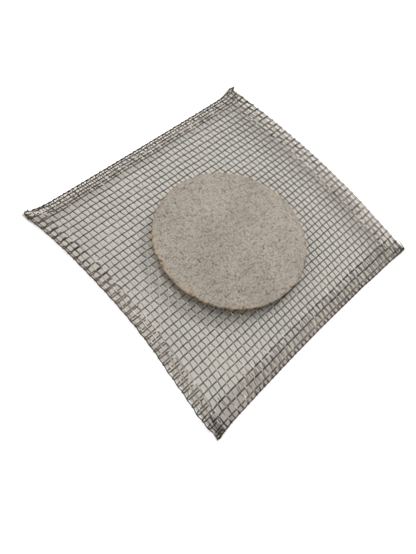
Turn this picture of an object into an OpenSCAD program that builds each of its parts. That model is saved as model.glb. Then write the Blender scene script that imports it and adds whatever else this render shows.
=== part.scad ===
// Wire gauze: a square of woven wire with its four edges folded back as hems,
// and a round ceramic pad moulded on and through its middle.
// The weave is drawn coarse: each bar of the grid stands for three or four wires.
// X runs along the straight wires, Y along the bowed ones, Z is up. Millimetres.

/* [Sheet] */
// Width over the two side hems, along X
sheet_w = 126.5; // [110:0.5:160]
// Depth over the front and back hems, along Y
sheet_d = 115.5; // [104:0.5:160]
// Openings counted across the sheet, between the side hems
gaps_x = 12; // [6:1:12]
// Openings counted from front to back, between the other two hems
gaps_y = 10; // [5:1:10]
// Width of one bar of the grid
bar_w = 1.5; // [1.2:0.1:3]
// Thickness of a bar along its ridge
bar_t = 0.9; // [0.6:0.05:1.4]
// Thickness of the wall along the edges of a bar and in the valleys of a hem
edge_t = 0.4; // [0.2:0.05:0.6]
// How far a bar rises where it passes over another, and drops where it passes under
weave = 0.15; // [0:0.05:0.3]

/* [Hems] */
// Width of the left hem
hem_left = 5.5; // [4:0.5:12]
// Width of the right hem
hem_right = 8; // [4:0.5:12]
// Width of the front hem
hem_front = 8.5; // [4:0.5:12]
// Width of the back hem
hem_back = 8; // [4:0.5:12]
// Radius of the fold, at the middle of the wall
fold_r = 0.8; // [0.7:0.05:1.5]
// How far the cut wire ends stand out past the edge of a hem
stubs = 1.6; // [0:0.1:2.5]
// Distance that a hem's corner is cut back from the hem beside it
hem_gap = 0.5; // [0.3:0.1:1]

/* [Lie of the sheet] */
// Height of the sheet's middle layer above the table, at the pad
lift = 4; // [3:0.5:10]
// How far the middle of each bowed wire stands to the right of its ends
bow_x = 4.8; // [0:0.1:8]
// How far the middle of each straight wire stands behind its ends
bow_y = 0.5; // [-3:0.1:3]
// How far the sheet's right edge stands behind its left edge, each from the middle
skew_y = 3; // [-6:0.1:6]
// How far the back edge stands to the left of the front edge, each from the middle
lean_x = 0.7; // [-4:0.1:4]
// How much deeper the left half of the sheet lies than the right half, at each corner
taper_y = 1.6; // [0:0.1:4]
// How far the back right corner is pulled out into an ear: to the right, and backwards
ear_back_right = [3.3, 6]; // [-2:0.1:7]
// The same for the back left corner
ear_back_left = [0.7, 3.2]; // [-2:0.1:7]
// The same for the front right corner
ear_front_right = [4.3, -1.1]; // [-2:0.1:7]
// The same for the front left corner
ear_front_left = [0.4, -1.6]; // [-2:0.1:7]

/* [Pad] */
// Diameter of the ceramic pad
pad_d = 70; // [56:1:76]
// Thickness of the pad above the wires
pad_top = 1.6; // [0.8:0.1:4]
// Thickness of the pad below the wires
pad_under = 0.5; // [0.4:0.1:1.5]
// Bevel round the pad's rims
pad_bevel = 0.3; // [0.1:0.05:0.35]
// How far the pad's centre lies right of the sheet's centre, measured on the mesh
pad_x = -4.2; // [-5:0.1:5]
// How far the pad's centre lies behind the sheet's centre, measured on the mesh
pad_y = -2.6; // [-5:0.1:5]
// Space between the pad and the bars that it is keyed round
key_gap = 0.1; // [0.05:0.05:0.4]

/* [Hidden] */

fold_steps = 3;                 // flats round one fold
ear_power = 8;                  // how close to a corner its ear and its dip start
edge_h = edge_t / 2;            // half of the wall at a bar's edge
ridge_h = bar_t / 2;            // half of the wall on a ridge
over_h = ridge_h + weave;       // from the middle layer to the top of a crossing

// Inner lines of the hems, and the lines where their folds start
x_left = -sheet_w / 2 + hem_left;
x_right = sheet_w / 2 - hem_right;
y_front = -sheet_d / 2 + hem_front;
y_back = sheet_d / 2 - hem_back;
fold_in = fold_r + ridge_h;     // from a sheet edge to where its fold starts
pitch_x = (x_right - x_left) / gaps_x;
pitch_y = (y_back - y_front) / gaps_y;
bars_x = [for (i = [1:gaps_x - 1]) x_left + i * pitch_x];
bars_y = [for (j = [1:gaps_y - 1]) y_front + j * pitch_y];

// ---- How the flat sheet lies: its corners are ears that dip to the table, its wires bow ----

function across(x) = 2 * x / sheet_w;
function along(y) = 2 * y / sheet_d;
function corner(x, y) =
    let (u = x / (sheet_w / 2 - fold_in), v = y / (sheet_d / 2 - fold_in))
    pow(min(1, pow(u * v, 2)), ear_power);
function ear(x, y) = corner(x, y) * (x < 0
    ? (y < 0 ? ear_front_left : ear_back_left)
    : (y < 0 ? ear_front_right : ear_back_right));
function plan_x(x, y) =
    x - lean_x * along(y) + bow_x * (1 - pow(along(y), 2)) + ear(x, y)[0];
function plan_y(x, y) =
    y + skew_y * across(x) - taper_y * across(x) * along(y) + bow_y * (1 - pow(across(x), 2))
    + ear(x, y)[1];

// Middle of the sheet's outline, which stands over the origin
rim = [for (i = [-20:20], s = [-1, 1]) each [
    [s * sheet_w / 2, i / 20 * sheet_d / 2], [i / 20 * sheet_w / 2, s * sheet_d / 2]]];
rim_x = [for (p = rim) plan_x(p[0], p[1])];
rim_y = [for (p = rim) plan_y(p[0], p[1])];
mid_x = (min(rim_x) + max(rim_x)) / 2;
mid_y = (min(rim_y) + max(rim_y)) / 2;

// A point of the folded sheet, z above its middle layer, as it lies on the table
function lie(x, y, z) = [
    plan_x(x, y) - mid_x,
    plan_y(x, y) - mid_y,
    lift - (lift - edge_h) * corner(x, y) + z];

// ---- The wall is a list of four-sided or three-sided faces, each with its own points ----

// Faces between two rings of points that run the same way round
function band(a, b) = [for (k = [0:len(a) - 1])
    let (n = (k + 1) % len(a)) [a[k], a[n], b[n], b[k]]];
// Faces between two open rows of points
function strip(a, b) = [for (k = [0:len(a) - 2]) [a[k], a[k + 1], b[k + 1], b[k]]];
// The same faces, seen from their other side
function flip(faces) = [for (f = faces) [for (i = [len(f) - 1:-1:0]) f[i]]];

module wall(faces) {
    starts = [for (i = 0, n = 0; i < len(faces); n = n + len(faces[i]), i = i + 1) n];
    polyhedron(
        points = [for (f = faces) each f],
        faces = [for (i = [0:len(faces) - 1]) [for (j = [0:len(faces[i]) - 1]) starts[i] + j]],
        convexity = 10);
}

// ---- Bars ----

// Cross-section of a bar along X, and of a bar along Y; up lifts its ridge lines
function ring_x(x, y, up) = [
    lie(x, y - bar_w / 2, edge_h), lie(x, y, ridge_h + up), lie(x, y + bar_w / 2, edge_h),
    lie(x, y + bar_w / 2, -edge_h), lie(x, y, up - ridge_h), lie(x, y - bar_w / 2, -edge_h)];
function ring_y(x, y, up) = [
    lie(x + bar_w / 2, y, edge_h), lie(x, y, ridge_h + up), lie(x - bar_w / 2, y, edge_h),
    lie(x - bar_w / 2, y, -edge_h), lie(x, y, up - ridge_h), lie(x + bar_w / 2, y, -edge_h)];

// Which way a crossing goes: the bar along X passes over where this is 1
function over(i, j) = (i + j) % 2 == 0 ? 1 : -1;
// Rise of the bar along X beside crossing i, j; none where it runs into a hem
function rise(i, j) =
    i < 0 || j < 0 || i > gaps_x - 2 || j > gaps_y - 2 ? 0 : weave * over(i, j);

// Ends of the stretch of bar between two crossings, or between a crossing and a hem
function from_x(i) = i < 0 ? x_left : bars_x[i] + bar_w / 2;
function to_x(i) = i > gaps_x - 2 ? x_right : bars_x[i] - bar_w / 2;
function from_y(j) = j < 0 ? y_front : bars_y[j] + bar_w / 2;
function to_y(j) = j > gaps_y - 2 ? y_back : bars_y[j] - bar_w / 2;

function bars_along_x() = [for (j = [0:gaps_y - 2], i = [-1:gaps_x - 2]) each
    band(ring_x(from_x(i), bars_y[j], rise(i, j)),
         ring_x(to_x(i + 1), bars_y[j], rise(i + 1, j)))];
function bars_along_y() = [for (i = [0:gaps_x - 2], j = [-1:gaps_y - 2]) each
    band(ring_y(bars_x[i], from_y(j), -rise(i, j)),
         ring_y(bars_x[i], to_y(j + 1), -rise(i, j + 1)))];

// Eight points round a crossing, and the fans that close it above and below
function crossing_rim(x, y, up, side) = let (b = bar_w / 2, e = side * edge_h, r = side * ridge_h) [
    lie(x - b, y - b, e), lie(x, y - b, r - up), lie(x + b, y - b, e), lie(x + b, y, r + up),
    lie(x + b, y + b, e), lie(x, y + b, r - up), lie(x - b, y + b, e), lie(x - b, y, r + up)];
function fan(centre, rim) = [for (k = [0:len(rim) - 1])
    [centre, rim[(k + 1) % len(rim)], rim[k]]];
function crossings() = [for (i = [0:gaps_x - 2], j = [0:gaps_y - 2])
    let (x = bars_x[i], y = bars_y[j], up = rise(i, j)) each concat(
        fan(lie(x, y, over_h), crossing_rim(x, y, up, 1)),
        flip(fan(lie(x, y, -over_h), crossing_rim(x, y, up, -1))))];

// ---- Hems ----

// A line across a hem: [place, half thickness, how far its cut end stands out, where it starts].
// A ridge runs on from each bar, and one lies between each pair of bars.
function valley(c) = [c, edge_h, 0, 0];
function ridge(c) = [c, ridge_h, stubs, 0];
function bar_lines(c) = [valley(c - bar_w / 2), ridge(c), valley(c + bar_w / 2)];
function hem_lines(first, last, bars) = [
    valley(first),
    for (i = [0:len(bars)]) let (
        a = i == 0 ? first : bars[i - 1] + bar_w / 2,
        b = i == len(bars) ? last : bars[i] - bar_w / 2)
        each concat([ridge((a + b) / 2)], i < len(bars) ? bar_lines(bars[i]) : []),
    valley(last)];
// The side hems run on over the corners, and their tips stand clear of the other two hems
function tip(c) = [c, edge_h, 0, hem_gap];
side_lines = concat(
    [tip(-sheet_d / 2), valley(y_front - (hem_front - fold_in))],
    hem_lines(y_front, y_back, bars_y),
    [valley(y_back + (hem_back - fold_in)), tip(sheet_d / 2)]);
end_lines = hem_lines(x_left, x_right, bars_x);

// Section of a hem across one line: [distance out from the inner line, height, tilt]
function hem_path(width, line) = let (start = width - fold_in) concat(
    [[line[3], 0, 0], [start, 0, 0]],
    [for (k = [1:fold_steps]) let (a = 180 * k / fold_steps)
        [start + fold_r * sin(a), fold_r * (1 - cos(a)), a]],
    [[hem_gap - line[2], 2 * fold_r, 180]]);

// One face of the wall along a hem's section: side is 1 for the upper face, -1 for the lower.
// at(d, c, z) is the point that lies d out from the inner line, at c along the hem.
function face_row(width, line, side, at) = [for (p = hem_path(width, line))
    at(p[0] - side * line[1] * sin(p[2]), line[0], p[1] + side * line[1] * cos(p[2]))];

// The wall's own edges at place k of the hem's section, between two lines or at one of them
function edge_faces(tops, unders, k) = [for (i = [0:len(tops) - 2])
    [tops[i][k], tops[i + 1][k], unders[i + 1][k], unders[i][k]]];
function end_faces(top, under, k0) = [for (k = [k0:len(top) - 2])
    [top[k], top[k + 1], under[k + 1], under[k]]];

// A hem: both faces, its cut edge, its open inner edge and its two ends.
// joined(a, b) tells where a bar or a strip of the next hem runs into its inner edge.
function hem(width, lines, k0, at, joined) = let (
    tops = [for (l = lines) face_row(width, l, 1, at)],
    unders = [for (l = lines) face_row(width, l, -1, at)],
    n = len(lines) - 1,
    inner = edge_faces(tops, unders, 0))
    concat(
        [for (i = [0:n - 1]) each strip(tops[i], tops[i + 1])],
        flip([for (i = [0:n - 1]) each strip(unders[i], unders[i + 1])]),
        flip(edge_faces(tops, unders, len(tops[0]) - 1)),
        [for (i = [0:n - 1]) if (!joined(lines[i][0], lines[i + 1][0])) inner[i]],
        flip(end_faces(tops[0], unders[0], k0)),
        end_faces(tops[n], unders[n], k0));

// True where the stretch from a to b lies within one of the bars
function on_bar(a, b, bars) =
    len([for (c = bars) if (abs((a + b) / 2 - c) < bar_w / 2) c]) > 0;
// True where it lies beside the flat strip of the front or back hem
function on_strip(a, b) = let (c = (a + b) / 2)
    (c < y_front && c > fold_in - sheet_d / 2) || (c > y_back && c < sheet_d / 2 - fold_in);
joined_side = function (a, b) on_bar(a, b, bars_y) || on_strip(a, b);
joined_end = function (a, b) on_bar(a, b, bars_x);

module wire_mesh() {
    color([0.30, 0.27, 0.22]) wall(concat(
        bars_along_x(),
        bars_along_y(),
        crossings(),
        hem(hem_left, side_lines, 0, function (d, c, z) lie(x_left - d, c, z), joined_side),
        flip(hem(hem_right, side_lines, 0, function (d, c, z) lie(x_right + d, c, z), joined_side)),
        hem(hem_back, end_lines, 1, function (d, c, z) lie(c, y_back + d, z), joined_end),
        flip(hem(hem_front, end_lines, 1, function (d, c, z) lie(c, y_front - d, z), joined_end))));
}

// ---- Pad: two slabs joined by keys through the openings, as paste pressed through the mesh ----

pad_c = lie(pad_x, pad_y, 0);   // centre of the pad, in the middle layer
key_reach = pad_d / 2 - pad_bevel;

// Round slab with bevelled rims
module slab(z0, z1) {
    r = pad_d / 2;
    b = pad_bevel;
    translate([pad_c[0], pad_c[1], 0])
        rotate_extrude($fn = 180)
            polygon([[0, z0], [r - b, z0], [r, z0 + b], [r, z1 - b], [r - b, z1], [0, z1]]);
}

// Outline of the key through one opening, clear of the bars round it
function key_outline(i, j) = let (
    x0 = from_x(i - 1) + key_gap,
    x1 = to_x(i) - key_gap,
    y0 = from_y(j - 1) + key_gap,
    y1 = to_y(j) - key_gap)
    [for (p = [[x0, y0], [x1, y0], [x1, y1], [x0, y1]])
        let (q = lie(p[0], p[1], 0)) [q[0], q[1]]];
function under_pad(outline) =
    max([for (p = outline) norm(p - [pad_c[0], pad_c[1]])]) < key_reach;

module ceramic_pad() {
    top_z = lift + over_h;
    under_z = lift - over_h - key_gap;
    color([0.68, 0.65, 0.60]) {
        slab(top_z, top_z + pad_top);
        slab(under_z - pad_under, under_z);
        for (i = [0:gaps_x - 1], j = [0:gaps_y - 1])
            if (under_pad(key_outline(i, j)))
                translate([0, 0, under_z - pad_under / 2])
                    linear_extrude(top_z - under_z + (pad_under + pad_top) / 2)
                        polygon(key_outline(i, j));
    }
}

wire_mesh();
ceramic_pad();
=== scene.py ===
# %% [markdown]
# # A wire gauze, dressed from its CAD frame
# A wire gauze is a square of woven wire with its four edges folded back, and a round ceramic pad in its
# middle. The CAD model gives its size, its lie and its pad. This script puts the real weave on that
# frame: every wire at its own pitch, the folded hems with their cut ends, and the fired pad.

import math

import bpy
from mathutils import Matrix, Vector, noise


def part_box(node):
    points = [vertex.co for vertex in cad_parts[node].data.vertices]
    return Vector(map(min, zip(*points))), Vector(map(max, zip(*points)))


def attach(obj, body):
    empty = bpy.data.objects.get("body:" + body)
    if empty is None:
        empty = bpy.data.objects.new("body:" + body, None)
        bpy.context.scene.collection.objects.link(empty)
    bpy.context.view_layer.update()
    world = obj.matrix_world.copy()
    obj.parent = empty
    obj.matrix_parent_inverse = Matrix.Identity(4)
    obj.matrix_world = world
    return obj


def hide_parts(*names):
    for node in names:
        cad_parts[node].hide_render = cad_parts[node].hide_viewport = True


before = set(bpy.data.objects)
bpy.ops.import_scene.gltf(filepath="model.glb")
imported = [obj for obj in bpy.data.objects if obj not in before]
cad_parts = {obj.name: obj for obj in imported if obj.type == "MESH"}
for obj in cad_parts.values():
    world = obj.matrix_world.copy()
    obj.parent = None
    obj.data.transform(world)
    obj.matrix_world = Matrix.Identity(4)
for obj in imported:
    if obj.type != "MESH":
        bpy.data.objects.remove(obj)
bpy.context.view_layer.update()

# %% [markdown]
# ## The lie of the sheet
# The sheet is a flat grid first. Its corners dip to the table, one set of wires bows and the other
# slants, and a few rules place every point of every wire. The CAD model follows rules of the same
# kind, so the wires lie close to its bars. Lengths are in millimetres up to the last step.

# %% Sizes of the sheet, in millimetres
MM = 0.001
SHEET_W = 126.5
SHEET_D = 115.5
WIRE = 0.50

# The wires are numbered. The back edge and the left edge lie at these numbers
ROW_PITCH = SHEET_D / 37.35
COLUMN_PITCH = SHEET_W / 50.9
ROW_EDGE = 0.35
COLUMN_EDGE = -1.5

# Height of the sheet over the table, at its middle and at its corners
LIFT = 4.0
TOUCH = 0.4

# What is taken off to bring the whole object to the middle of the frame
MIDDLE = (2.5, 0.6)
mesh_low, mesh_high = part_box("wire_mesh")
pad_low, pad_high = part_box("ceramic_pad")
print("mesh box in mm:", [round(v * 1000, 2) for v in (*mesh_low, *mesh_high)])

# %% [markdown]
# ## Sums as nodes
# The shape of the wires is a rule, so Geometry Nodes can work it out for all of them at once. A long
# rule is a long row of Math nodes. Writing them one by one hides the rule, so a small class lets the
# script write sums as sums, and adds the node for each.


# %% A number at every point
class Field:
    """A number that the tree works out at each point. Each sum adds one Math node."""

    def __init__(self, tree, socket):
        self.tree = tree
        self.socket = socket

    def math(self, operation, *others):
        node = self.tree.nodes.new("ShaderNodeMath")
        node.operation = operation
        for place, value in zip(node.inputs, (self, *others)):
            wire_up(self.tree, value, place)
        return Field(self.tree, node.outputs[0])

    def __add__(self, other):
        return self.math("ADD", other)

    def __sub__(self, other):
        return self.math("SUBTRACT", other)

    def __mul__(self, other):
        return self.math("MULTIPLY", other)

    def __truediv__(self, other):
        return self.math("DIVIDE", other)

    def __neg__(self):
        return self.math("MULTIPLY", -1.0)

    def __rsub__(self, other):
        return self.math("MULTIPLY_ADD", -1.0, other)

    __radd__ = __add__
    __rmul__ = __mul__


def wire_up(tree, value, place):
    if isinstance(value, Field):
        tree.links.new(value.socket, place)
    else:
        place.default_value = value


def lower(a, b):
    return a.math("MINIMUM", b)


def higher(a, b):
    return a.math("MAXIMUM", b)


def clamp(a, low, high):
    return lower(higher(a, low), high)


def sine(a):
    return a.math("SINE")


def cosine(a):
    return a.math("COSINE")


def ease(a, start, end):
    """0 before start, 1 after end, and smooth between them."""
    t = clamp((a - start) / (end - start), 0.0, 1.0)
    return t * t * (3.0 - 2.0 * t)


# %% [markdown]
# ## Chance and wander
# No two wires of a real weave lie alike. A random number differs from wire to wire, and noise changes
# slowly from place to place. Each use has its own salt, so one seed makes the whole sheet again.


# %% Random numbers and slow wander
def random_for(tree, seed, wire, salt, low, high):
    node = tree.nodes.new("FunctionNodeRandomValue")
    node.data_type = "FLOAT"
    node.inputs[2].default_value = low
    node.inputs[3].default_value = high
    wire_up(tree, wire, node.inputs["ID"])
    wire_up(tree, seed + salt, node.inputs["Seed"])
    return Field(tree, node.outputs[1])


def combine(tree, x, y, z):
    node = tree.nodes.new("ShaderNodeCombineXYZ")
    for place, value in zip(node.inputs, (x, y, z)):
        wire_up(tree, value, place)
    return Field(tree, node.outputs[0])


def wander(tree, x, y, salt, size):
    """Two smooth random numbers from about -0.5 to 0.5 that change over size millimetres."""
    node = tree.nodes.new("ShaderNodeTexNoise")
    node.inputs["Scale"].default_value = 1.0 / size
    node.inputs["Detail"].default_value = 1.0
    wire_up(tree, combine(tree, x, y, salt), node.inputs["Vector"])
    parts = tree.nodes.new("ShaderNodeSeparateXYZ")
    tree.links.new(node.outputs["Color"], parts.inputs[0])
    return Field(tree, parts.outputs[0]) - 0.5, Field(tree, parts.outputs[1]) - 0.5


# %% [markdown]
# ## Folding the hems
# A hem is the sheet's edge turned up and back on itself. Along the wire, the distance past the fold's
# start first goes round half a circle and then runs back. The side hems are folded first and the other
# two over them, so a corner has four layers and its second fold is wider.

# %% The four folds
FOLD = 0.5
CORNER_FOLD = 0.8
EDGE_X = SHEET_W / 2 - WIRE / 2
EDGE_Y = SHEET_D / 2 - WIRE / 2


def fold_x(x, w):
    """Folds both side hems: w is the height above the flat sheet."""
    start = EDGE_X - FOLD
    right = clamp((x - start) / FOLD, 0.0, math.pi)
    left = clamp((-x - start) / FOLD, 0.0, math.pi)
    back_right = higher(x - (start + math.pi * FOLD), 0.0)
    back_left = higher(-x - (start + math.pi * FOLD), 0.0)
    out = clamp(x, -start, start) + (FOLD - w) * (sine(right) - sine(left)) - back_right + back_left
    up = FOLD * (2.0 - cosine(right) - cosine(left)) + w * cosine(right) * cosine(left)
    return out, up


def fold_y(y, w, radius):
    """Folds the front and back hems round the stack that the side hems made."""
    start = EDGE_Y - radius
    back = clamp((y - start) / radius, 0.0, math.pi)
    front = clamp((-y - start) / radius, 0.0, math.pi)
    past = start + math.pi * radius
    run_back = higher(y - past, 0.0)
    run_front = higher(-y - past, 0.0)
    flat = lower(higher(y, -start), start)
    out = flat + (radius - w) * (sine(back) - sine(front)) - run_back + run_front
    up = radius * (2.0 - cosine(back) - cosine(front)) + w * cosine(back) * cosine(front)
    return out, up


print("the folds stand", EDGE_X, "and", EDGE_Y, "mm from the middle, and are", FOLD, "mm in radius")

# %% [markdown]
# ## Laying the sheet
# A folded sheet is springy and never quite square. Its edges bow and slant, and its four corners are
# drawn out into ears that dip to the table. One function gives how far each point moves, so the wires
# and the floor's patch of painted shade can both use it.

# %% How the sheet bows, slants and dips
BOW = 4.8
SAG = 0.5
LEAN = 0.7
SKEW = 3.0
TAPER = 1.6

# How far each edge stands out at its middle, and how that changes along it
RIGHT_OUT = 0.4
RIGHT_TILT = 0.5
LEFT_IN = 0.35
LEFT_TILT = 0.8
BACK_OUT = 0.1
BACK_TILT = 0.8
BACK_CURVE = 0.7
FRONT_OUT = 0.2
FRONT_CURVE = 1.2

# How far each ear is drawn out: front left, back left, front right, back right
EARS_X = (2.7, 0.4, 3.2, 2.6)
EARS_Y = (0.1, 3.3, 0.4, 4.1)
EAR_INSET = 1.25


def by_corner(x_side, y_side, ears):
    """Picks the number of one corner: x_side is 1 at the right, y_side is 1 at the back, else -1."""
    front_left, back_left, front_right, back_right = ears
    left = (y_side * (back_left - front_left) + (back_left + front_left)) * 0.5
    right = (y_side * (back_right - front_right) + (back_right + front_right)) * 0.5
    return left + (right - left) * (x_side * 0.5 + 0.5)


def near_edge(share):
    """0 up to the middle of the sheet, rising steeply to 1 at one edge."""
    return clamp(share, 0.0, 1.0).math("POWER", 4.0)


def bend(x, y):
    """How far each point of the flat sheet moves, and how close it is to a corner."""
    across = x * (2 / SHEET_W)
    along = y * (2 / SHEET_D)
    near = (x / (SHEET_W / 2 - EAR_INSET) * y / (SHEET_D / 2 - EAR_INSET)).math("POWER", 2.0)
    corner = lower(near, 1.0).math("POWER", 8.0)
    sides = x.math("SIGN"), y.math("SIGN")
    ear_x = by_corner(*sides, EARS_X)
    ear_y = by_corner(*sides, EARS_Y)
    right = near_edge(across)
    left = near_edge(-across)
    back = near_edge(along)
    front = near_edge(-along)
    move_x = (1.0 - along * along) * BOW - along * LEAN + corner * ear_x - MIDDLE[0]
    move_x = move_x + right * (RIGHT_OUT - along * RIGHT_TILT) + left * (along * LEFT_TILT - LEFT_IN)
    move_y = across * SKEW - across * along * TAPER + (1.0 - across * across) * SAG
    move_y = move_y + corner * ear_y - MIDDLE[1]
    move_y = move_y + back * (across * BACK_TILT + across * across * BACK_CURVE + BACK_OUT)
    move_y = move_y - front * (across * across * FRONT_CURVE + FRONT_OUT)
    return move_x, move_y, corner


def lie(x, y, z):
    """Lays the folded sheet on the table: its corners are ears that dip."""
    move_x, move_y, corner = bend(x, y)
    return x + move_x, y + move_y, LIFT - corner * (LIFT - TOUCH) + z


print("ears reach out by", EARS_X, "mm along X and", EARS_Y, "mm along Y")

# %% [markdown]
# ## The tree that weaves
# One tree lays a whole set of wires, and the same tree serves both sets. It makes a row of points for
# each wire, works out where each point lies in the flat sheet, lets the wire rise and fall over the
# wires that cross it, folds the hems, and draws a round wire through the points. The points stand
# closer together in the hems, where the wire turns sharply. Its inputs are the sizes of a set.

# %% Inputs of the tree
INPUTS = (
    ("Wires", "Int", 10),
    ("First wire", "Int", 0),
    ("Cut start", "Float", 0.0),
    ("Cut end", "Float", 10.0),
    ("End steps", "Int", 20),
    ("Field steps", "Int", 100),
    ("Diameter", "Float", WIRE),
    ("Crimp", "Float", 0.2),
    ("Field wear", "Float", 0.1),
    ("Hem wear", "Float", 0.1),
    ("Burn", "Float", 0.1),
    ("Seed", "Int", 1),
    ("Material", "Material", None),
)


def add_inputs(tree):
    """Names the inputs of the tree, and gives each of them as a Field."""
    for name, kind, value in INPUTS:
        socket = tree.interface.new_socket(name, in_out="INPUT", socket_type="NodeSocket" + kind)
        if kind in ("Float", "Int"):
            socket.default_value = value
    node = tree.nodes.new("NodeGroupInput")
    return {name: Field(tree, node.outputs[name]) for name, kind, value in INPUTS}


print("the tree has", len(INPUTS), "inputs")

# %% [markdown]
# ## Where each wire is cut
# The sheet is cut out of a wider cloth, so its wires end a little raggedly. The corners can be snipped
# off before the folding, or four layers would be too thick to press, so the wires that lie deep in a
# hem are shorter at both ends. Places along a wire are counted in the wires that cross it.

# %% The ends of a wire, and the points between them
RAGGED = 0.35
MITRE = 0.8
SNIP_FROM = 1.5
TIP = 3.0
HEM_REACH = 3.0


def cut_ends(tree, give, wire, across, along_x):
    """Where a wire starts and where it ends."""
    span = SHEET_D if along_x else SHEET_W
    pitch = COLUMN_PITCH if along_x else ROW_PITCH
    edge = COLUMN_EDGE if along_x else ROW_EDGE
    far_edge = edge + (SHEET_W if along_x else SHEET_D) / pitch
    deep = higher(higher(-across, across - span), 0.0)
    in_hem = ease(deep, 1.3, 1.8)
    snip = higher(deep - SNIP_FROM, 0.0) * (MITRE / pitch)
    first = give["Cut start"] + random_for(tree, give["Seed"], wire, 1, 0.0, RAGGED)
    last = give["Cut end"] - random_for(tree, give["Seed"], wire, 2, 0.0, RAGGED)
    first = first + in_hem * higher(snip + edge - first, 0.0)
    last = last - in_hem * higher(last - far_edge + snip, 0.0)
    spare = (higher(lower(across, span - across), 0.0) + TIP) / pitch
    return higher(first, edge - spare), lower(last, spare + far_edge)


def place_along(give, step, first, last):
    """Where a point is on its wire: the end steps reach past the folds, the others share the rest."""
    field_start = higher(give["Cut start"].math("CEIL") + HEM_REACH, first + 0.5)
    field_end = lower(give["Cut end"].math("FLOOR") - HEM_REACH, last - 0.5)
    near = lower(step / give["End steps"], 1.0)
    middle = clamp((step - give["End steps"]) / give["Field steps"], 0.0, 1.0)
    far = clamp((step - give["End steps"] - give["Field steps"]) / give["End steps"], 0.0, 1.0)
    place = first + near * (field_start - first) + middle * (field_end - field_start)
    return place + far * (last - field_end)


print("wires end up to", RAGGED, "of a pitch short")

# %% [markdown]
# ## The uneven weave
# In a plain weave each wire goes over one wire and under the next, which is a cosine along the wire.
# A real weave is never even. Both sets of wires share a slow wander, and each wire has a little of its
# own. A hem keeps the wander of the sheet under it, because it was the same cloth before the fold.

# %% Where a point lies in the flat sheet
BACK_PULL = 0.9
RIGHT_PULL = 0.5
SWAY_X = 0.7
SWAY_Y = 0.9
OWN_ROW = 0.3
OWN_COLUMN = 0.35


def flat_place(give, number, place, across, along_x):
    """The place in the flat sheet, and how far the wire rises over the wires that cross it."""
    if along_x:
        flat_x = (place - COLUMN_EDGE) * COLUMN_PITCH - SHEET_W / 2
        flat_y = SHEET_D / 2 - across
        rise = cosine((place + number) * math.pi) * give["Crimp"]
    else:
        flat_x = across - SHEET_W / 2
        flat_y = SHEET_D / 2 - (place - ROW_EDGE) * ROW_PITCH
        rise = cosine((place + number) * math.pi) * give["Crimp"] * -1.0
    flat_y = flat_y - near_edge(flat_y / EDGE_Y) * BACK_PULL
    flat_x = flat_x + near_edge(flat_x / EDGE_X) * RIGHT_PULL
    return flat_x, flat_y, rise


def with_wander(tree, flat_x, flat_y, along_x):
    """Adds the wander of the whole weave, and that of each wire."""
    over_x = clamp(flat_x, -EDGE_X, EDGE_X) * 2.0 - flat_x
    over_y = clamp(flat_y, -EDGE_Y, EDGE_Y) * 2.0 - flat_y
    side_x = 1.0 - ease(higher(flat_x, -flat_x), EDGE_X - 0.3, EDGE_X + 0.8) * 2.0
    side_y = 1.0 - ease(higher(flat_y, -flat_y), EDGE_Y - 0.3, EDGE_Y + 0.8) * 2.0
    sway_x, sway_y = wander(tree, over_x, over_y, 7.0, 16.0)
    own_x, own_y = wander(tree, flat_x, flat_y, 31.0, 5.0)
    flat_x = flat_x + sway_x * side_x * SWAY_X
    flat_y = flat_y + sway_y * side_y * SWAY_Y
    if along_x:
        return flat_x, flat_y + own_y * OWN_ROW
    return flat_x + own_x * OWN_COLUMN, flat_y


def pressed(flat_x, flat_y, along_x):
    """Presses a wire that lies in the front or the left fold to the very edge."""
    if along_x:
        pulled = ease(-flat_y, EDGE_Y + 0.2, EDGE_Y + 0.8) - ease(-flat_y, EDGE_Y + 1.3, EDGE_Y + 2.2)
        return flat_x, flat_y + pulled * 0.6
    pulled = ease(-flat_x, EDGE_X + 0.4, EDGE_X + 1.0) - ease(-flat_x, EDGE_X + 1.5, EDGE_X + 2.3)
    inner = ease(-flat_x, EDGE_X - 2.0, EDGE_X - 1.4) - ease(-flat_x, EDGE_X - 0.8, EDGE_X - 0.3)
    return flat_x + pulled * 0.9 + inner * 0.3, flat_y


print("pitches of the rows and columns in mm:", round(ROW_PITCH, 3), round(COLUMN_PITCH, 3))

# %% [markdown]
# ## Hems that slipped
# A hem is pressed down by hand or in a brake, and slips along its edge as it goes down, so its wires
# don't lie over those of the sheet. At the back of the left edge the wires stand out as loops. The cut
# ends lean as they please. Each slip starts at the fold, by the distance that a point is past the edge.

# %% How far each hem has slipped
LEFT_SLIP_FRONT = 1.1
LEFT_SLIP_BACK = 1.4
LOOP = 0.8
LEFT_OUT = 0.8
FRONT_WAVE = 1.6
FRONT_SHIFT = 1.4
BACK_WAVE = 1.2
BACK_SHIFT = 1.4


def past_edges(flat_x, flat_y):
    """How far a point is past the left, the right, the back and the front edge."""
    return -flat_x - EDGE_X, flat_x - EDGE_X, flat_y - EDGE_Y, -flat_y - EDGE_Y


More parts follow.
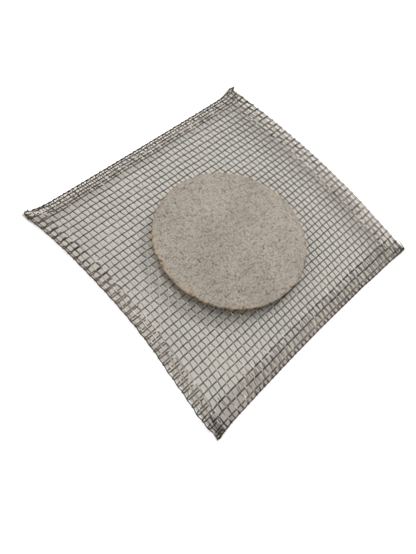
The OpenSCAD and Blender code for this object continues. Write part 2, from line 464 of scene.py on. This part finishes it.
def side_slips(tree, flat_x, flat_y, past, loose):
    """For the side hems: the slip of each along its edge, the wave of its cut ends, and its reach."""
    left, right = past[:2]
    behind = ease(flat_y, 8.0, 40.0)
    loop = ease(left, -2.6, -1.0) - ease(left, -1.0, 1.6) * 2.0 + ease(left, 1.6, 3.8)
    left_slip = (behind * LEFT_SLIP_BACK - LEFT_SLIP_FRONT + loose * 0.15) * ease(left, -0.8, 1.5)
    left_slip = left_slip + loop * behind * (LOOP + loose * 0.15)
    right_slip = (loose * 0.2 - 0.1) * ease(right, 0.0, 4.0) - ease(right, 4.0, 8.0) * 0.35
    wave = wander(tree, flat_x, flat_y, 91.0, 9.0)[0]
    side_shift = wave * (ease(right, 0.5, 8.0) * 2.6 + ease(left, 2.0, 6.0) * 1.6)
    left_out = ease(left, -1.2, 0.2) * ease(-flat_y, 5.0, 32.0) * LEFT_OUT
    return left_slip, right_slip, side_shift, left_out


def end_slips(tree, flat_x, past, loose):
    """For the front and back hems: the slip of each along its edge, and its shift away from the edge."""
    back, front = past[2:]
    front_wave, front_lean = wander(tree, flat_x, front, 55.0, 14.0)
    back_wave, back_lean = wander(tree, flat_x, back, 77.0, 12.0)
    front_run = higher(front, 0.0)
    back_run = higher(back, 0.0)
    front_slip = front_wave * FRONT_WAVE * ease(front, -0.4, 2.0)
    front_slip = front_slip + (front_lean * 0.5 + loose * 0.05) * front_run
    back_slip = (back_wave * BACK_WAVE + 1.0) * ease(back, -0.5, 1.2)
    back_slip = back_slip + (back_lean * 0.5 + loose * 0.14) * back_run
    front_in = ease(front, 1.2, 3.0) * FRONT_SHIFT
    back_out = ease(back, 0.8, 2.6) * BACK_SHIFT
    return front_slip, back_slip, front_in, back_out


print("the left hem slips from", -LEFT_SLIP_FRONT, "to", round(LEFT_SLIP_BACK - LEFT_SLIP_FRONT, 2), "mm")

# %% [markdown]
# ## Wear, painted shade and painted glints
# Wires rub bare where a hem is handled, but stay dark where they go round a fold. The wires are also
# painted darker towards the right and the back, as shade, and the cut ends get a painted glint. Each
# of the three is a number that is kept on the points of the wire, and the finish reads it from there.

# %% How worn a wire is, its painted shade and its painted glint
GLINT_STEPS = 13.0


def round_fold(past, start, end):
    """1 where a wire goes round a fold."""
    return ease(past, start, end) - ease(past, 1.4, 2.2)


def wear(give, past):
    """The share of the wire's skin that is rubbed off."""
    left, right, back, front = past
    fold = round_fold(left, -0.6, 0.0) + round_fold(right, -0.6, 0.0)
    fold = fold + round_fold(back, -0.9, -0.2) + round_fold(front, -0.9, -0.2)
    hem_x = ease(higher(left, right), -9.0, -6.0)
    hem_y = ease(higher(front, back), -5.0, -2.0)
    hem = higher(hem_x, hem_y) * (1.0 - ease(back, 3.5, 4.5))
    worn = give["Field wear"] + (give["Hem wear"] - give["Field wear"]) * hem
    return worn * (1.0 - lower(fold, 1.0))


def painted_shade(give, flat_x, flat_y):
    """Painted shade: how much darker the wire is made towards the right and the back."""
    return higher(ease(flat_x, -25.0, 20.0), ease(flat_y, 0.0, 35.0)) * give["Burn"]


def painted_glint(tree, give, wire, step, per_wire):
    """Painted glint, 1 or so at a cut end and 0 past the first few points. Some glint more than others."""
    shine = random_for(tree, give["Seed"], wire, 6, 0.3, 1.2)
    return higher((1.0 - lower(step, per_wire - 1.0 - step) / GLINT_STEPS) * shine, 0.0)


print("cut ends are bright for", GLINT_STEPS, "steps")

# %% [markdown]
# ## Drawing the wire
# The points of one wire share a number, and Points to Curves strings them together by it. Curve to
# Mesh then sweeps a small ring along each curve. Six sides are enough for a wire half a millimetre
# thick, and they keep thousands of bends light. The export needs Realize Instances at the end.

# %% Curves through the points, and a tube round each
WIRE_SIDES = 6


def string_up(tree, give, index, per_wire, wire, x, y, z):
    points = tree.nodes.new("GeometryNodePoints")
    wire_up(tree, per_wire * give["Wires"], points.inputs["Count"])
    wire_up(tree, combine(tree, x * MM, y * MM, z * MM), points.inputs["Position"])
    curves = tree.nodes.new("GeometryNodePointsToCurves")
    tree.links.new(points.outputs[0], curves.inputs["Points"])
    wire_up(tree, wire, curves.inputs["Curve Group ID"])
    wire_up(tree, index, curves.inputs["Weight"])
    return curves.outputs[0]


def store(tree, geometry, name, value):
    node = tree.nodes.new("GeometryNodeStoreNamedAttribute")
    node.data_type = "FLOAT"
    node.domain = "POINT"
    node.inputs["Name"].default_value = name
    tree.links.new(geometry, node.inputs["Geometry"])
    wire_up(tree, value, node.inputs["Value"])
    return node.outputs[0]


def round_wire(tree, curve, give):
    profile = tree.nodes.new("GeometryNodeCurvePrimitiveCircle")
    profile.inputs["Resolution"].default_value = WIRE_SIDES
    wire_up(tree, give["Diameter"] * (MM / 2), profile.inputs["Radius"])
    tube = tree.nodes.new("GeometryNodeCurveToMesh")
    tube.inputs["Fill Caps"].default_value = True
    tree.links.new(curve, tube.inputs["Curve"])
    tree.links.new(profile.outputs[0], tube.inputs["Profile Curve"])
    smooth = tree.nodes.new("GeometryNodeSetShadeSmooth")
    tree.links.new(tube.outputs[0], smooth.inputs[0])
    realize = tree.nodes.new("GeometryNodeRealizeInstances")
    tree.links.new(smooth.outputs[0], realize.inputs[0])
    paint = tree.nodes.new("GeometryNodeSetMaterial")
    tree.links.new(realize.outputs[0], paint.inputs["Geometry"])
    wire_up(tree, give["Material"], paint.inputs["Material"])
    output = tree.nodes.new("NodeGroupOutput")
    tree.links.new(paint.outputs[0], output.inputs[0])


# %% The whole tree
def weave_tree(name, along_x):
    """A tree for the wires along X, or for those along Y."""
    tree = bpy.data.node_groups.new(name, "GeometryNodeTree")
    tree.interface.new_socket("Geometry", in_out="OUTPUT", socket_type="NodeSocketGeometry")
    give = add_inputs(tree)

    # Each point knows its index, and from that its wire and its step along the wire
    index = Field(tree, tree.nodes.new("GeometryNodeInputIndex").outputs[0])
    per_wire = give["End steps"] * 2.0 + give["Field steps"] + 1.0
    wire = ((index + 0.5) / per_wire).math("FLOOR")
    step = index - wire * per_wire
    number = wire + give["First wire"]
    across = (number - ROW_EDGE) * ROW_PITCH if along_x else (number - COLUMN_EDGE) * COLUMN_PITCH

    # The flat sheet
    first, last = cut_ends(tree, give, wire, across, along_x)
    place = place_along(give, step, first, last)
    flat_x, flat_y, rise = flat_place(give, number, place, across, along_x)
    flat_x, flat_y = with_wander(tree, flat_x, flat_y, along_x)
    flat_x, flat_y = pressed(flat_x, flat_y, along_x)
    past = past_edges(flat_x, flat_y)
    loose = random_for(tree, give["Seed"], wire, 3, -1.0, 1.0)
    left_slip, right_slip, side_shift, left_out = side_slips(tree, flat_x, flat_y, past, loose)
    front_slip, back_slip, front_in, back_out = end_slips(tree, flat_x, past, loose)

    # The folds. Over a side hem the front and back hems have a thicker stack to go round
    stack = higher(ease(flat_x, EDGE_X - 10.3, EDGE_X - 8.2), ease(-flat_x, EDGE_X - 8.2, EDGE_X - 6.0))
    x, up = fold_x(flat_x, rise)
    y, up = fold_y(flat_y, up * (1.0 - stack * 0.3), FOLD + stack * (CORNER_FOLD - FOLD))
    x = x + front_slip + back_slip + side_shift - left_out
    y = y + left_slip + right_slip + front_in + back_out
    x, y, z = lie(x, y, up)

    # The wire itself
    curve = string_up(tree, give, index, per_wire, wire, x, y, z)
    # The wire keeps its painted glint, its painted shade and its wear on its points
    curve = store(tree, curve, "cut", painted_glint(tree, give, wire, step, per_wire))
    curve = store(tree, curve, "shade_mask", painted_shade(give, flat_x, flat_y))
    curve = store(tree, curve, "worn", wear(give, past))
    round_wire(tree, curve, give)
    return tree


# %% [markdown]
# ## Finishes
# The wire is mild steel under a thin brown-grey skin of oxide, which hardly looks like metal. Where the
# skin is rubbed off, bare steel shows, and the cut ends carry a painted glint. Painted shade makes the
# wires darker towards the right and the back. One material does it all, because each wire carries its
# own wear, painted shade and painted glint.

# %% Helpers for shader trees
def new_material(name):
    material = bpy.data.materials.new(name)
    material.use_nodes = True
    nodes = material.node_tree.nodes
    nodes.clear()
    shader = nodes.new("ShaderNodeBsdfPrincipled")
    output = nodes.new("ShaderNodeOutputMaterial")
    material.node_tree.links.new(shader.outputs[0], output.inputs[0])
    return material, shader


def node_in(material, kind, **settings):
    node = material.node_tree.nodes.new(kind)
    for name, value in settings.items():
        node.inputs[name.replace("_", " ")].default_value = value
    return node


def join(material, source, target):
    material.node_tree.links.new(source, target)


def speckle(material, vector, scale, detail=2.0, roughness=0.5):
    node = node_in(material, "ShaderNodeTexNoise", Scale=scale, Detail=detail, Roughness=roughness)
    join(material, vector, node.inputs["Vector"])
    return node.outputs["Fac"]


def ramp(material, factor, *stops):
    node = material.node_tree.nodes.new("ShaderNodeValToRGB")
    while len(node.color_ramp.elements) < len(stops):
        node.color_ramp.elements.new(0.5)
    for element, (place, color) in zip(node.color_ramp.elements, stops):
        element.position = place
        element.color = (*color, 1.0)
    join(material, factor, node.inputs[0])
    return node.outputs[0]


def blend_colors(material, factor, a, b):
    node = material.node_tree.nodes.new("ShaderNodeMix")
    node.data_type = "RGBA"
    for value, place in ((factor, 0), (a, 6), (b, 7)):
        if hasattr(value, "is_output"):
            join(material, value, node.inputs[place])
        elif place == 0:
            node.inputs[place].default_value = value
        else:
            node.inputs[place].default_value = (*value, 1.0)
    return node.outputs[2]


def shade_of(value):
    return (value, value, value)


def attribute(material, name):
    node = material.node_tree.nodes.new("ShaderNodeAttribute")
    node.attribute_name = name
    return node.outputs["Fac"]


def object_coords(material):
    node = material.node_tree.nodes.new("ShaderNodeTexCoord")
    return node.outputs["Object"]


# %% Oxidised steel wire
def steel_finish():
    """Each wire carries its own wear: the share of bare metal that shows through the oxide."""
    material, shader = new_material("oxidised_steel_wire")
    patches = speckle(material, object_coords(material), 60.0, 3.0)
    worn = attribute(material, "worn")
    shade_mask = attribute(material, "shade_mask")
    # Painted glint: the cut ends get a pale colour in place of a highlight
    cut = ramp(material, attribute(material, "cut"), (0.4, shade_of(0.0)), (0.7, shade_of(1.0)))

    # Skin and bare metal, each in patches, then painted shade and the painted glints of the ends over them
    dark_skin = (0.044, 0.028, 0.015)
    plain_skin = (0.068, 0.046, 0.026)
    brown_skin = (0.13, 0.083, 0.042)
    skin = ramp(material, patches, (0.35, dark_skin), (0.55, plain_skin), (0.70, brown_skin))
    dull_steel = (0.36, 0.335, 0.295)
    clean_steel = (0.62, 0.58, 0.52)
    bare = ramp(material, patches, (0.35, dull_steel), (0.65, clean_steel))
    glint_white = (0.95, 0.93, 0.89)
    color = blend_colors(material, worn, skin, bare)
    # Painted shade: the wires go darker towards the right and the back
    color = blend_colors(material, shade_mask, color, shade_of(0.0))
    color = blend_colors(material, cut, color, glint_white)
    join(material, color, shader.inputs["Base Color"])

    # The skin has a weak brown sheen, and bare steel is a smooth metal
    skin_sheen = (0.10, 0.072, 0.045)
    steel_sheen = (0.3, 0.27, 0.22)
    tint = ramp(material, worn, (0.0, skin_sheen), (0.5, steel_sheen))
    join(material, tint, shader.inputs["Specular Tint"])
    metal = ramp(material, worn, (0.0, shade_of(0.15)), (0.4, shade_of(1.0)))
    # The painted glints take little metal, so they stay pale under any lamp
    metal = blend_colors(material, cut, metal, shade_of(0.1))
    join(material, metal, shader.inputs["Metallic"])
    rough = ramp(material, worn, (0.0, shade_of(0.5)), (0.4, shade_of(0.25)))
    join(material, rough, shader.inputs["Roughness"])
    shader.inputs["Specular IOR Level"].default_value = 0.15
    return material


steel = steel_finish()
print("made", steel.name)

# %% [markdown]
# ## Weaving the sheet
# The straight wires run along X and hardly bend. The bowed wires run along Y and take most of the
# crimp. Each set runs on past the edges into the hems.


# %% Lay both sets of wires
def weave(name, along_x, **sizes):
    tree = weave_tree(name, along_x)
    ids = {s.name: s.identifier for s in tree.interface.items_tree if s.in_out == "INPUT"}
    holder = bpy.data.objects.new(name + "_rule", bpy.data.meshes.new(name + "_rule"))
    bpy.context.scene.collection.objects.link(holder)
    modifier = holder.modifiers.new("weave", "NODES")
    modifier.node_group = tree
    for label, value in sizes.items():
        modifier[ids[label.replace("_", " ")]] = value
    modifier[ids["Material"]] = steel
    graph = bpy.context.evaluated_depsgraph_get()
    mesh = bpy.data.meshes.new_from_object(holder.evaluated_get(graph), depsgraph=graph)
    bpy.data.objects.remove(holder)
    mesh.name = name
    piece = bpy.data.objects.new(name, mesh)
    bpy.context.scene.collection.objects.link(piece)
    mesh.calc_loop_triangles()
    print(name, "has", len(mesh.loop_triangles), "triangles")
    return piece


row_wires = weave(
    "row_wires",
    True,
    Wires=43,
    First_wire=-2,
    Cut_start=-4.3,
    Cut_end=53.2,
    End_steps=36,
    Field_steps=200,
    Diameter=WIRE,
    Crimp=0.10,
    Field_wear=0.0,
    Hem_wear=0.04,
    Burn=0.3,
    Seed=11,
)
column_wires = weave(
    "column_wires",
    False,
    Wires=58,
    First_wire=-4,
    Cut_start=-2.55,
    Cut_end=40.5,
    End_steps=26,
    Field_steps=148,
    Diameter=0.45,
    Crimp=0.30,
    Field_wear=0.48,
    Hem_wear=0.68,
    Burn=0.2,
    Seed=23,
)
for piece in (row_wires, column_wires):
    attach(piece, "root")
    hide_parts("wire_mesh")

# %% [markdown]
# ## The ceramic
# The pad is a fibrous ceramic paste, pressed on to the mesh from both sides and fired. The flame has
# scorched its rim. The grain is far too fine for points, so the material carries it: a pale body with
# pits, fibres and grit, and over it a scorched ring that is worked out from the distance to the middle.

# %% Helpers for patterns
PAD_X = (pad_low.x + pad_high.x) / 2
PAD_Y = (pad_low.y + pad_high.y) / 2
PAD_R = (pad_high.x - pad_low.x) / 2


def placed(material, vector, shift=(0, 0, 0), turn=0.0, scale=(1, 1, 1)):
    """Moves, turns and stretches a pattern."""
    node = material.node_tree.nodes.new("ShaderNodeMapping")
    join(material, vector, node.inputs["Vector"])
    node.inputs["Location"].default_value = shift
    node.inputs["Rotation"].default_value = (0, 0, turn)
    node.inputs["Scale"].default_value = scale
    return node.outputs[0]


def position_fields(material, shift=(0, 0, 0)):
    """Where the point is on its object, as three numbers to reckon with."""
    parts = material.node_tree.nodes.new("ShaderNodeSeparateXYZ")
    join(material, placed(material, object_coords(material), shift=shift), parts.inputs[0])
    return [Field(material.node_tree, socket) for socket in parts.outputs]


def multiply(material, color, factor):
    node = material.node_tree.nodes.new("ShaderNodeMix")
    node.data_type = "RGBA"
    node.blend_type = "MULTIPLY"
    node.inputs[0].default_value = 1.0
    join(material, color, node.inputs[6])
    join(material, factor, node.inputs[7])
    return node.outputs[2]


print("pad is", round(PAD_R * 2000, 2), "mm across, at", round(PAD_X * 1000, 2), round(PAD_Y * 1000, 2))


# %% Fired ceramic
def ceramic_body(material, coords):
    """A pale, warm grey body with slow clouds, a pitted grain, fibres and grit."""
    clouds = speckle(material, coords, 55.0, 3.0)
    body = ramp(material, clouds, (0.3, (0.365, 0.322, 0.272)), (0.7, (0.452, 0.405, 0.347)))
    grain = speckle(material, coords, 1900.0, 2.0, 0.6)
    pits = ramp(material, grain, (0.34, shade_of(0.50)), (0.48, shade_of(0.97)), (0.70, shade_of(1.22)))
    body = multiply(material, body, pits)

    # Short dark strokes along both sets of wires: fibres, and the print of the weave
    strokes = []
    for along in ((0.22, 1.0, 1.0), (1.0, 0.22, 1.0)):
        stretched = placed(material, coords, shift=(0.3, 0.1, 0.0), turn=0.05, scale=along)
        strokes.append(Field(material.node_tree, speckle(material, stretched, 1500.0, 1.0)))
    fibres = higher(*strokes)
    dark_strokes = ramp(material, fibres.socket, (0.60, shade_of(1.0)), (0.72, shade_of(0.62)))
    body = multiply(material, body, dark_strokes)

    # Dark specks of grit
    grit = speckle(material, placed(material, coords, shift=(0.7, 0.4, 0.0)), 900.0, 0.0)
    specks = ramp(material, grit, (0.74, shade_of(0.0)), (0.80, shade_of(0.75)))
    body = blend_colors(material, specks, body, (0.12, 0.105, 0.085))
    return body, Field(material.node_tree, grain) - fibres * 0.7


def scorched(material, coords, body):
    """Scorches the rim in a ragged ring, strongest at left and right, and paints shade low on the side."""
    x, y, height = position_fields(material, shift=(-PAD_X, -PAD_Y, 0.0))
    radius = (x * x + y * y).math("SQRT")
    ragged = speckle(material, coords, 260.0, 4.0, 0.65)
    reach = (Field(material.node_tree, ragged) - 0.5) * 0.008
    ring = (radius + reach + higher(x, -x) * 0.02 - x * 0.012) / PAD_R
    scorch = ramp(material, ring.socket, (0.95, shade_of(0.0)), (0.995, shade_of(0.4)), (1.05, shade_of(0.9)))
    crumbs = speckle(material, coords, 620.0, 2.0)
    burnt_brown = (0.13, 0.08, 0.045)
    tan = (0.36, 0.26, 0.17)
    pale_tan = (0.50, 0.39, 0.27)
    crust = ramp(material, crumbs, (0.36, burnt_brown), (0.46, tan), (0.62, pale_tan))
    body = blend_colors(material, scorch, body, crust)
    # Painted shade: the side is made dark low down, where it lies in the shadow of the rim
    low = (height - pad_low.z) / 0.0034 + reach * 60.0
    painted_shade_low = ramp(material, low.socket, (0.15, shade_of(0.6)), (0.55, shade_of(0.0)))
    return blend_colors(material, painted_shade_low, body, (0.13, 0.105, 0.08))


def ceramic_finish():
    material, shader = new_material("fired_ceramic")
    coords = object_coords(material)
    body, relief = ceramic_body(material, coords)
    join(material, scorched(material, coords, body), shader.inputs["Base Color"])
    shader.inputs["Roughness"].default_value = 0.95
    shader.inputs["Specular IOR Level"].default_value = 0.2
    bump = node_in(material, "ShaderNodeBump", Strength=0.5, Distance=0.0002)
    join(material, relief.socket, bump.inputs["Height"])
    join(material, bump.outputs[0], shader.inputs["Normal"])
    return material


ceramic = ceramic_finish()
print("made", ceramic.name)

# %% [markdown]
# ## The pad
# The pad is one profile carried round a circle, so rings of points make it: over the top, round the
# rim, down the side, and under to the middle. It is worn most at the rim, where noise moves the points
# in and chips them. The lower slab is a little narrower, with a seam where the two halves meet.

# %% Profile of the pad
BEVEL = 0.0005
SEAM = 0.0041
RINGS = 16
SEGMENTS = 480


def pad_profile():
    """Rings from the middle of the top, over the rim and down the side, to the middle of the underside."""
    top = pad_high.z
    low = pad_low.z
    inner = [(PAD_R * k / RINGS, top) for k in range(1, RINGS)]
    rim = []
    for a in (0.0, 0.4, 0.8, 1.2, math.pi / 2):
        rim.append((PAD_R - BEVEL * (1 - math.sin(a)), top - BEVEL * (1 - math.cos(a))))
    side = [(PAD_R, top - 0.0009), (PAD_R - 0.0004, top - 0.0014), (PAD_R - 0.0009, SEAM)]
    slab = [(PAD_R - 0.0011, SEAM - 0.0004), (PAD_R - 0.0011, low + 0.0004), (PAD_R - 0.0016, low)]
    under = [(PAD_R * k / RINGS, low) for k in range(RINGS - 1, 0, -1)]
    return inner + rim + side + slab + under


def wear_rim(radius, height, turn):
    """Moves a point of the profile inwards where the rim is worn, and roughens the flat faces."""
    ray = Vector((math.cos(turn), math.sin(turn), 0))
    near_rim = max(0.0, radius / PAD_R - 0.9) * 10
    slow = noise.noise(ray * 6 + Vector((0, 0, 3)))
    quick = noise.noise(ray * 38 + Vector((0, 0, height * 900)))
    chip = max(0.0, noise.noise(ray * 17 + Vector((5, 0, height * 300))) - 0.25)
    radius -= near_rim * (0.0002 * (1 + slow) + 0.0002 * (1 + quick) + 0.002 * chip)
    spot = ray * radius * 400
    dent = 0.00006 * (1 + noise.noise(spot)) + near_rim * 0.00012 * (1 + noise.noise(spot * 3))
    if height > SEAM:
        return radius, max(SEAM, height - dent)
    return radius, height + dent


print("the profile has", len(pad_profile()), "rings of", SEGMENTS, "points")


# %% Mesh of the pad
def pad_points(profile):
    """The middle of the top, then every ring, then the middle of the underside."""
    points = [(PAD_X, PAD_Y, pad_high.z)]
    for radius, height in profile:
        for k in range(SEGMENTS):
            turn = 2 * math.pi * k / SEGMENTS
            r, z = wear_rim(radius, height, turn)
            points.append((PAD_X + r * math.cos(turn), PAD_Y + r * math.sin(turn), z))
    return points + [(PAD_X, PAD_Y, pad_low.z)]


def pad_faces(rings):
    """A fan of triangles at the top, bands between the rings, and a fan underneath."""
    faces = [(0, 1 + k, 1 + (k + 1) % SEGMENTS) for k in range(SEGMENTS)]
    for ring in range(rings - 1):
        a = 1 + ring * SEGMENTS
        b = a + SEGMENTS
        for k in range(SEGMENTS):
            n = (k + 1) % SEGMENTS
            faces.append((a + k, b + k, b + n, a + n))
    last = 1 + (rings - 1) * SEGMENTS
    tip = 1 + rings * SEGMENTS
    return faces + [(tip, last + (k + 1) % SEGMENTS, last + k) for k in range(SEGMENTS)]


def make_pad():
    profile = pad_profile()
    faces = pad_faces(len(profile))
    mesh = bpy.data.meshes.new("ceramic_disc")
    mesh.from_pydata(pad_points(profile), [], faces)
    mesh.shade_smooth()
    mesh.materials.append(ceramic)
    piece = bpy.data.objects.new("ceramic_disc", mesh)
    bpy.context.scene.collection.objects.link(piece)
    print("ceramic_disc has", len(faces), "faces")
    return piece


ceramic_disc = make_pad()
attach(ceramic_disc, "root")
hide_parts("ceramic_pad")

# %% [markdown]
# ## The floor
# The gauze stands on plain white. Through its openings the white looks a little darker and warmer than
# it does all round, so the floor has an off-white patch of painted shade where the camera sees it through
# the sheet, in place of the shadow of the weave and its hems.
# The patch uses the rule that bends the sheet, backwards: a step at a time, it finds the place in the
# flat sheet that is seen in front of each place on the floor. It fits the one camera of this scene.

# %% Floor
FLOOR_HALF = 1.5
TO_MM = 1000
SEEN_X = 2.1
SEEN_Y = 1.15


def unbend(x, y):
    """Finds the place in the flat sheet that is seen in front of a place on the floor."""
    flat_x = x + (MIDDLE[0] - SEEN_X)
    flat_y = y + (MIDDLE[1] - SEEN_Y)
    for share in (1.0, 0.5, 0.5):
        move_x, move_y, corner = bend(flat_x, flat_y)
        height = 1.0 - corner * 0.9
        flat_x = flat_x + (x - height * SEEN_X - move_x - flat_x) * share
        flat_y = flat_y + (y - height * SEEN_Y - move_y - flat_y) * share
    return flat_x, flat_y


def floor_finish():
    """Painted shade under the sheet, darker at the hems, and a white backdrop to the camera all round."""
    material, shader = new_material("white_floor_painted_shade")
    x, y = position_fields(material)[:2]
    x, y = unbend(x * TO_MM, y * TO_MM)
    past_x = higher(x, -x) - SHEET_W / 2
    past_y = higher(y - 0.4, -y) - SHEET_D / 2
    share = (higher(past_x, past_y) * 0.1 + 0.8).socket
    # Painted shade: off-white where the weave shades the floor, warmer and darker under the hems and at the
    # edges
    field = (0.87, 0.843, 0.785)
    hem = (0.84, 0.788, 0.727)
    edge = (0.77, 0.722, 0.665)
    white = shade_of(1.0)
    stops = (0.1, field), (0.4, hem), (0.6, hem), (0.76, edge), (0.81, edge), (0.88, white)
    join(material, ramp(material, share, *stops), shader.inputs["Base Color"])
    rays = Field(material.node_tree, node_in(material, "ShaderNodeLightPath").outputs["Is Camera Ray"])
    backdrop = ramp(material, share, (0.81, shade_of(0.0)), (0.88, shade_of(0.45)))
    glow = rays * Field(material.node_tree, backdrop)
    shader.inputs["Emission Color"].default_value = (1.0, 1.0, 1.0, 1.0)
    join(material, glow.socket, shader.inputs["Emission Strength"])
    shader.inputs["Roughness"].default_value = 1.0
    shader.inputs["Specular IOR Level"].default_value = 0.0
    return material


def make_floor():
    mesh = bpy.data.meshes.new("floor")
    s = FLOOR_HALF
    mesh.from_pydata([(-s, -s, 0), (s, -s, 0), (s, s, 0), (-s, s, 0)], [], [(0, 1, 2, 3)])
    mesh.materials.append(floor_finish())
    floor = bpy.data.objects.new("floor", mesh)
    bpy.context.scene.collection.objects.link(floor)
    return floor


floor = make_floor()
print("floor is", FLOOR_HALF * 2, "m wide")

# %% [markdown]
# ## Light and camera
# A soft shadow needs a large light. One long panel faces down from above, and three stand round the
# gauze at the right, the left and the back. The world fills in a little from all sides.

# %% Lamps and world
# Name, place, the point it faces, its two sides in metres, and its power in watts
PANELS = (
    ("top_panel", (-0.06, 0.55, 2.0), (-0.06, 0.549, 0), (0.7, 1.9), 15.5),
    ("right_panel", (2.35, 0.3, 1.85), (0, 0, 0), (1.34, 1.0), 49.0),
    ("left_panel", (-2.6, 0.4, 1.4), (0, 0, 0), (1.34, 1.0), 18.6),
    ("back_panel", (0.3, 2.6, 1.2), (0, 0, 0), (1.34, 1.0), 19.6),
)


def add_panel(name, place, target, size, power):
    data = bpy.data.lights.new(name, "AREA")
    data.shape = "RECTANGLE"
    data.size = size[0]
    data.size_y = size[1]
    data.energy = power
    lamp = bpy.data.objects.new(name, data)
    lamp.location = place
    lamp.rotation_euler = (Vector(target) - Vector(place)).to_track_quat("-Z", "Y").to_euler()
    bpy.context.scene.collection.objects.link(lamp)


for panel in PANELS:
    add_panel(*panel)
world = bpy.data.worlds.new("studio")
bpy.context.scene.world = world
world.use_nodes = True
world.node_tree.nodes["Background"].inputs["Color"].default_value = (1.0, 1.0, 1.0, 1.0)
world.node_tree.nodes["Background"].inputs["Strength"].default_value = 0.2
print("panels:", [panel[0] for panel in PANELS])

# %% Camera
# The three directions of the camera: its right, its top, and from the gauze back to it
RIGHT = Vector((0.7316, -0.6545, 0.1907))
UP = Vector((0.5214, 0.7174, 0.4620))
BACK = Vector((-0.4392, -0.2386, 0.8661))
CAMERA_PLACE = Vector((-0.14104, -0.0755, 0.2382))
camera_data = bpy.data.cameras.new("camera")
camera_data.lens = 41.71
camera_data.sensor_width = 36.0
camera = bpy.data.objects.new("camera", camera_data)
turn = Matrix((RIGHT, UP, BACK)).transposed()
camera.matrix_world = Matrix.Translation(CAMERA_PLACE) @ turn.to_4x4()
bpy.context.scene.collection.objects.link(camera)
bpy.context.scene.camera = camera
bpy.context.scene.view_settings.view_transform = "Standard"
print("camera stands", round(CAMERA_PLACE.length, 3), "m from the gauze")

# %% The last call
bpy.context.view_layer.update()
